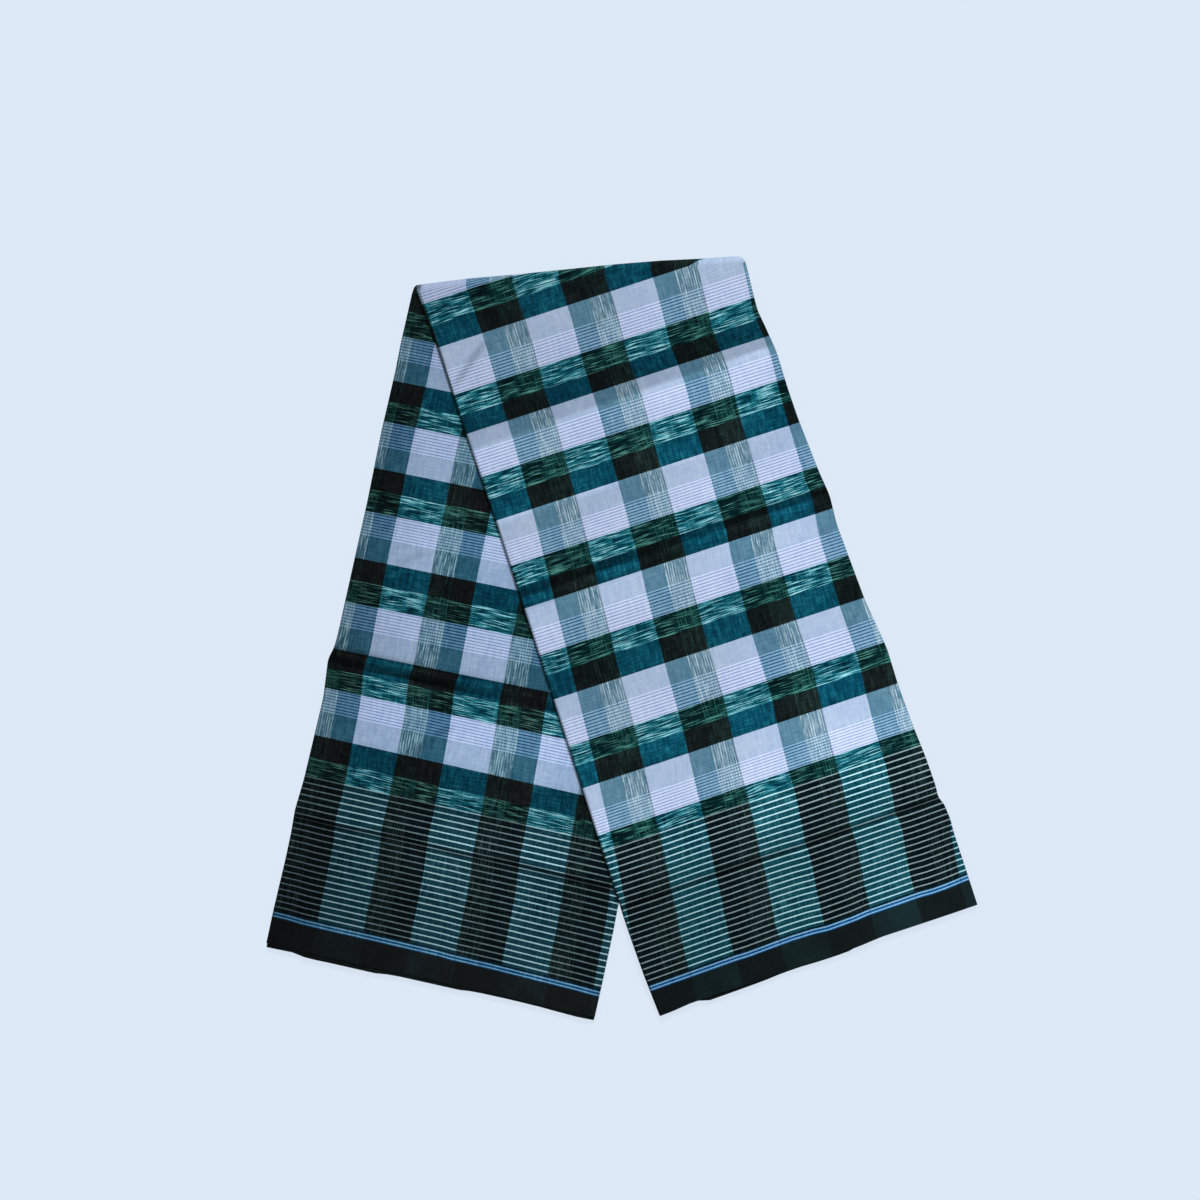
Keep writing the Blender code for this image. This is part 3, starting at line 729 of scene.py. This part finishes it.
    # Colours of the border and the selvedge.
    dark_ground, light_ground, dark_line, light_line = dyes_and_shade["border"]
    border_ground = add("Mix", is_light, dark_ground, light_ground, **mixed)
    border_slubs = add("Math", is_slub, 0.40, operation="MULTIPLY")
    border_slubs = add("Math", slubs, border_slubs, operation="MULTIPLY")
    border_ground = add("Mix", border_slubs, border_ground, BORDER_SLUB, **mixed)
    border_line = add("Mix", is_light, dark_line, light_line, **mixed)
    from_line = add("Math", add("Math", line, 0.5, operation="ADD"), 1.0, operation="FLOORED_MODULO")
    from_line = add("Math", add("Math", from_line, 0.5, operation="SUBTRACT"), operation="ABSOLUTE")
    on_line = add("Math", from_line, BORDER_LINE_HALF, operation="LESS_THAN")
    on_line = add("Math", on_line, add("Math", line, 0.5, operation="GREATER_THAN"), operation="MULTIPLY")
    border_colour = add("Mix", on_line, border_ground, border_line, **mixed)
    mid_blue, deep_blue, pale_blue = dyes_and_shade["blues"]
    blue_order = (mid_blue, deep_blue, pale_blue, deep_blue, pale_blue, *LAST_BLUES)
    blue_stops = tuple(zip((0.0, 0.23, 0.305, 0.405, 0.575, 0.68, 0.80), blue_order))
    blues = add("ValToRGB", add("MapRange", line, -1.3, 0.7), ramp=blue_stops)
    blues.node.color_ramp.interpolation = "CONSTANT"
    in_blue = add("Math", line, BLUES_FROM, operation="LESS_THAN")
    border_colour = add("Mix", in_blue, border_colour, blues, **mixed)
    worn = add("Math", is_light, noises["dye"], operation="MULTIPLY")
    selvedge = add("Mix", worn, *dyes_and_shade["selvedge"], **mixed)
    in_selvedge = add("Math", line, SELVEDGE_FROM, operation="LESS_THAN")
    border_colour = add("Mix", in_selvedge, border_colour, selvedge, **mixed)
    in_border = add("Math", line, BORDER_LINES, operation="LESS_THAN")
    colour = add("Mix", in_border, colour, border_colour, **mixed)
    bar_edge = add("Math", add("Math", bar, 2.0, operation="SUBTRACT"), operation="ABSOLUTE")
    bar_edge = add("MapRange", bar_edge, 0.02, 0.05, 0.35, 0.0)
    colour = add("Mix", bar_edge, colour, BAR_EDGE, **mixed)

    # Unevenness of colour, the painted light and shade of the cloth's lie, and its finish.
    unevenness = add("Math", noises["warp_yarns"], noises["weft_yarns"], operation="ADD")
    bump = add("Bump", 0.35, WEAVE_RELIEF, unevenness, at=("Strength", "Distance", "Height"))
    unevenness = add("Math", noises["mottle"], 1.2, unevenness, operation="MULTIPLY_ADD")
    unevenness = add("Math", noises["dye"], 0.8, unevenness, operation="MULTIPLY_ADD")
    swing = add("MapRange", unevenness, 1.75, 2.25, 1.0, -1.0)
    swing.node.clamp = False
    off_pale = add("MapRange", is_light, 0.0, 1.0, 0.07, 0.12)
    reach = add("MapRange", is_pale, 0.0, 1.0, off_pale, 0.07)
    reach = add("Math", reach, add("MapRange", in_selvedge, 0.0, 1.0, 1.0, 0.25), operation="MULTIPLY")
    depth = add("Math", swing, reach, 1.0, operation="MULTIPLY_ADD")
    colour = add("Gamma", colour, depth)
    # Painted light and shade of the slopes, creases and wrinkles, read from its own UV map.
    painted_shading_map = add("SeparateXYZ", add("UVMap", uv_map="Lie"))
    # Painted shade along the left fold, a dark line where the fold turns away from the lamp.
    fold_shade = add("MapRange", painted_shading_map.node.outputs[1], 0.3, 2.1, dyes_and_shade["fold_shade"], 1.0)
    painted_shading_gain = add("Math", painted_shading_map, fold_shade, operation="MULTIPLY")
    border_share = add("SeparateXYZ", add("UVMap", uv_map="Border"))
    # The border darker towards its left edge.
    darker_to_left = add("MapRange", border_share, 0.1, 0.7, dyes_and_shade["border_darker_to_left"], 1.0)
    darker_to_left = add("Mix", in_border, 1.0, darker_to_left, at=(0, 2, 3))
    painted_shading_gain = add("Math", painted_shading_gain, darker_to_left, operation="MULTIPLY")
    colour = add("VectorMath", colour, painted_shading_gain, at=(0, 3), operation="SCALE")

    places = ("Base Color", "Roughness", "Specular IOR Level", "Sheen Weight", "Sheen Roughness", "Normal")
    finish = (COTTON_ROUGHNESS, COTTON_SPECULAR, COTTON_SHEEN, COTTON_SHEEN_ROUGHNESS)
    add("OutputMaterial", add("BsdfPrincipled", colour, *finish, bump, at=places))
    return material


RIGHT_FOLD_TOP = 1.4
RIGHT_FOLD_LOW = 0.7
LEFT_FOLD = 3.0
LEFT_FOLD_TAKES = 0.01
TUCK = 0.985
SEEN_STEPS = 86
UNSEEN_STEPS = 27


def outer_path(leg):
    """Way of the cloth through a leg's first and last layer, and the columns of the one that is seen."""
    outside = FoldedPath(leg)
    steps = (SEEN_STEPS, UNSEEN_STEPS)
    widths = 0.0
    if leg["upside_down"]:
        steps = steps[::-1]
        widths = LEFT_FOLD_TAKES
    outside.flat(5, TUCK, 1.0, 3, 0.0, RIGHT_FOLD_TOP, -1, 2.0)
    outside.fold("right", 5, 8, 5, RIGHT_FOLD_TOP, -1, 1.0)
    last_layer = outside.flat(8, 1.0, 0.0, steps[0], LEFT_FOLD, RIGHT_FOLD_TOP, 1, widths)
    outside.fold("left", 8, 1, 9, LEFT_FOLD, -1, widths - LEFT_FOLD_TAKES / 2)
    widths -= LEFT_FOLD_TAKES
    first_layer = outside.flat(1, 0.0, 1.0, steps[1], LEFT_FOLD, RIGHT_FOLD_LOW, -1, widths)
    outside.fold("right", 1, 2, 3, RIGHT_FOLD_LOW, -1, -1.0 - LEFT_FOLD_TAKES)
    outside.flat(2, 1.0, TUCK, 3, 0.0, RIGHT_FOLD_LOW, 1, -2.0)
    return outside, first_layer if leg["upside_down"] else last_layer


over_path, over_seen = outer_path(OVER_LEG)
over_cotton = woven_cotton("over_leg_woven_cotton", OVER_LEG_DYES_AND_SHADE)
over_grid = cloth_grid(OVER_LEG, over_path, leg_rows(OVER_LEG, ROW_STEP), TURN_ROWS)
over_leg_cloth = cloth_piece("over_leg_cloth_weave", *over_grid, over_cotton)
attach(over_leg_cloth, "root")
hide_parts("over_leg_cloth")


# Selvedge of the over leg: the weft yarn turns back round the last warp yarn, one small loop at a time, so
# the cloth's long edge needs no hem. Real loops are 0.6 mm apart, and every third one is made.
LOOP_SPACING = 0.0018
LOOP_RADIUS = 0.0005
YARN_RADIUS = 0.00016

selvedge_yarn = bpy.data.materials.new("dyed_selvedge_yarn")
selvedge_yarn.use_nodes = True
selvedge_yarn.node_tree.nodes.clear()
add = functools.partial(add_node, selvedge_yarn.node_tree)
here = add("TexCoord").node.outputs["Object"]
twist = add("TexNoise", here, 900.0, 2.0, at=("Vector", "Scale", "Detail"))
shade = add("ValToRGB", twist, ramp=((0.35, "#0b1112"), (0.65, "#1b2c2e")))
fuzz = add("Bump", 0.4, 0.0001, twist, at=("Strength", "Distance", "Height"))
yarn_finish = ("Base Color", "Roughness", "Specular IOR Level", "Normal")
add("OutputMaterial", add("BsdfPrincipled", shade, COTTON_ROUGHNESS, COTTON_SPECULAR, fuzz, at=yarn_finish))

loops_tree = bpy.data.node_groups.new("selvedge_loops", "GeometryNodeTree")
loops_tree.interface.new_socket("Edge", in_out="INPUT", socket_type="NodeSocketGeometry")
for size_name in ("Loop Spacing", "Loop Radius", "Yarn Radius"):
    loops_tree.interface.new_socket(size_name, in_out="INPUT", socket_type="NodeSocketFloat")
loops_tree.interface.new_socket("Loops", in_out="OUTPUT", socket_type="NodeSocketGeometry")
add = functools.partial(add_node, loops_tree)
edge, spacing, loop_radius, yarn_radius = add("NodeGroupInput").node.outputs[:4]
run = add("GeometryNodeMeshToCurve", edge)
spots = add("GeometryNodeResampleCurve", run, spacing, at=("Curve", "Length"), mode="LENGTH")
arc = add("GeometryNodeCurveArc", 6, loop_radius, -math.pi / 2, math.pi,
          at=("Resolution", "Radius", "Start Angle", "Sweep Angle"), mode="RADIUS")
yarn_ring = add("GeometryNodeCurvePrimitiveCircle", 5, yarn_radius,
                at=("Resolution", "Radius"), mode="RADIUS")
loop = add("GeometryNodeCurveToMesh", arc, yarn_ring, True, at=("Curve", "Profile Curve", "Fill Caps"))
way = add("GeometryNodeInputTangent")
facing = add("FunctionNodeAlignRotationToVector", way, at=("Vector",), axis="Y", pivot_axis="Z")
loops = add("GeometryNodeInstanceOnPoints", spots, loop, facing, at=("Points", "Instance", "Rotation"))
loops = add("GeometryNodeRealizeInstances", loops)
loops = add("GeometryNodeSetMaterial", loops, selvedge_yarn, at=("Geometry", "Material"))
add("NodeGroupOutput", loops)


def selvedge_loops(name, edge_points):
    """Loops of weft yarn along the edge of a top layer, from the loops' node tree."""
    corners = (edge_points.T * 0.001).tolist()
    mesh = bpy.data.meshes.new(name + "_run")
    mesh.from_pydata(corners, [(n, n + 1) for n in range(len(corners) - 1)], [])
    run = bpy.data.objects.new(name + "_run", mesh)
    bpy.context.scene.collection.objects.link(run)
    looping = run.modifiers.new("selvedge_loops", "NODES")
    looping.node_group = loops_tree
    sizes = {"Loop Spacing": LOOP_SPACING, "Loop Radius": LOOP_RADIUS, "Yarn Radius": YARN_RADIUS}
    for item in loops_tree.interface.items_tree:
        if item.name in sizes:
            looping[item.identifier] = sizes[item.name]
    plain = bpy.data.meshes.new_from_object(run.evaluated_get(bpy.context.evaluated_depsgraph_get()))
    run.modifiers.clear()
    bpy.data.objects.remove(run)
    plain.name = name
    plain.shade_smooth()
    piece = bpy.data.objects.new(name, plain)
    bpy.context.scene.collection.objects.link(piece)
    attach(piece, "root")
    return piece


over_selvedge = selvedge_loops("over_leg_selvedge", over_grid[0][-1][:, over_seen])


# Layers inside the over leg: the same cloth, folded to and fro between the top layer and the lowest one.
# Only their folds and selvedges show, at the right edge and at the end.
INNER_ROW_STEP = 5.0
INNER_STEPS = 28
RIGHT_FOLD_MIDDLE = 0.9

hidden_cotton = woven_cotton("inner_layers_woven_cotton", UNDER_LEG_SHADED_DYES)


def inner_path(leg):
    """Way of the cloth through a leg's six inner layers."""
    inside = FoldedPath(leg)
    inside.flat(5, TUCK, 0.0, INNER_STEPS, LEFT_FOLD, RIGHT_FOLD_TOP, -1, 2.0)
    inside.fold("left", 5, 4, 3, LEFT_FOLD, 1, 2.0)
    inside.flat(4, 0.0, 1.0, INNER_STEPS, LEFT_FOLD, RIGHT_FOLD_MIDDLE, 1, 2.0)
    inside.fold("right", 4, 3, 3, RIGHT_FOLD_MIDDLE, 1, 3.0)
    inside.flat(3, 1.0, 0.0, INNER_STEPS, LEFT_FOLD, RIGHT_FOLD_MIDDLE, -1, -4.0)
    inside.fold("left", 3, 6, 4, LEFT_FOLD, 1, -4.0)
    inside.flat(6, 0.0, 1.0, INNER_STEPS, LEFT_FOLD, RIGHT_FOLD_TOP, 1, -4.0)
    inside.fold("right", 6, 7, 3, RIGHT_FOLD_TOP, 1, -3.0)
    inside.flat(7, 1.0, 0.0, INNER_STEPS, LEFT_FOLD, RIGHT_FOLD_TOP, -1, -2.0)
    inside.fold("left", 7, 2, 6, LEFT_FOLD, 1, -2.0)
    inside.flat(2, 0.0, TUCK, INNER_STEPS, LEFT_FOLD, RIGHT_FOLD_LOW, 1, -2.0)
    return inside


over_inner_rows = leg_rows(OVER_LEG, INNER_ROW_STEP)
over_inner_grid = cloth_grid(OVER_LEG, inner_path(OVER_LEG), over_inner_rows, TURN_ROWS // 2, "inner_hem")
over_leg_layers = cloth_piece("over_leg_inner_layers", *over_inner_grid, hidden_cotton)
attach(over_leg_layers, "root")
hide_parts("over_leg_layers")


# Cloth of the under leg: its top layer, the left fold and the bottom layer that lies on the surface. The
# strip was turned over, so the order of its layers is upside down here.
under_path, under_seen = outer_path(UNDER_LEG)
under_cotton = woven_cotton("under_leg_woven_cotton", UNDER_LEG_SHADED_DYES)
under_grid = cloth_grid(UNDER_LEG, under_path, leg_rows(UNDER_LEG, ROW_STEP), 0)
under_leg_cloth = cloth_piece("under_leg_cloth_weave", *under_grid, under_cotton)
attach(under_leg_cloth, "root")
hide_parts("under_leg_cloth", "under_leg_base_cloth")
under_selvedge = selvedge_loops("under_leg_selvedge", under_grid[0][-1][:, under_seen])


# Layers inside the under leg: the same cloth folded as in the over leg, but upside down. Their selvedges
# show at the end, a little past the top layer's.
under_inner_rows = leg_rows(UNDER_LEG, INNER_ROW_STEP)
under_inner_grid = cloth_grid(UNDER_LEG, inner_path(UNDER_LEG), under_inner_rows, 0, "inner_hem")
under_leg_layers = cloth_piece("under_leg_inner_layers", *under_inner_grid, hidden_cotton)
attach(under_leg_layers, "root")
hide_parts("under_leg_layers")


# The surface is a pale blue-grey light table of acrylic, lit from within, so that next to no shadow shows
# on it. It is wide enough to fill the picture from above. In a low view its far edge shows.
BOARD_COLOUR = "#dde9f7"
BOARD_SIZE = 4.0
LIT_SHARE = 0.9

half = BOARD_SIZE / 2
board_corners = [(-half, -half, 0), (half, -half, 0), (half, half, 0), (-half, half, 0)]
board_mesh = bpy.data.meshes.new("light_table")
board_mesh.from_pydata(board_corners, [], [(0, 1, 2, 3)])
board = bpy.data.objects.new("light_table", board_mesh)
bpy.context.scene.collection.objects.link(board)
lit_acrylic = bpy.data.materials.new("lit_acrylic")
lit_acrylic.use_nodes = True
board_shader = lit_acrylic.node_tree.nodes["Principled BSDF"]
unlit_colour = [channel * (1.0 - LIT_SHARE) for channel in linear(BOARD_COLOUR)]
board_shader.inputs["Base Color"].default_value = unlit_colour
board_shader.inputs["Roughness"].default_value = 1.0
board_shader.inputs["Specular IOR Level"].default_value = 0.0
board_shader.inputs["Emission Color"].default_value = linear(BOARD_COLOUR)
board_shader.inputs["Emission Strength"].default_value = LIT_SHARE
board_mesh.materials.append(lit_acrylic)
board.visible_diffuse = False


# Soft studio light: an even white dome, and one broad lamp beyond the turned edge. It comes in at about 47
# degrees, which shows the creases.
DOME_STRENGTH = 0.36
LAMP_STRENGTH = 2.73
LAMP_SPREAD = math.radians(12.0)
LAMP_DIRECTION = (0.05, 0.68, 0.73)

world = bpy.data.worlds.new("studio_dome")
world.use_nodes = True
dome = world.node_tree.nodes["Background"]
dome.inputs["Color"].default_value = (1.0, 1.0, 1.0, 1.0)
dome.inputs["Strength"].default_value = DOME_STRENGTH
bpy.context.scene.world = world
lamp_data = bpy.data.lights.new("studio_lamp", "SUN")
lamp_data.energy = LAMP_STRENGTH
lamp_data.angle = LAMP_SPREAD
lamp = bpy.data.objects.new("studio_lamp", lamp_data)
lamp.rotation_mode = "QUATERNION"
lamp.rotation_quaternion = Vector(LAMP_DIRECTION).to_track_quat("Z", "Y")
bpy.context.scene.collection.objects.link(lamp)
bpy.context.scene.view_settings.view_transform = "Standard"
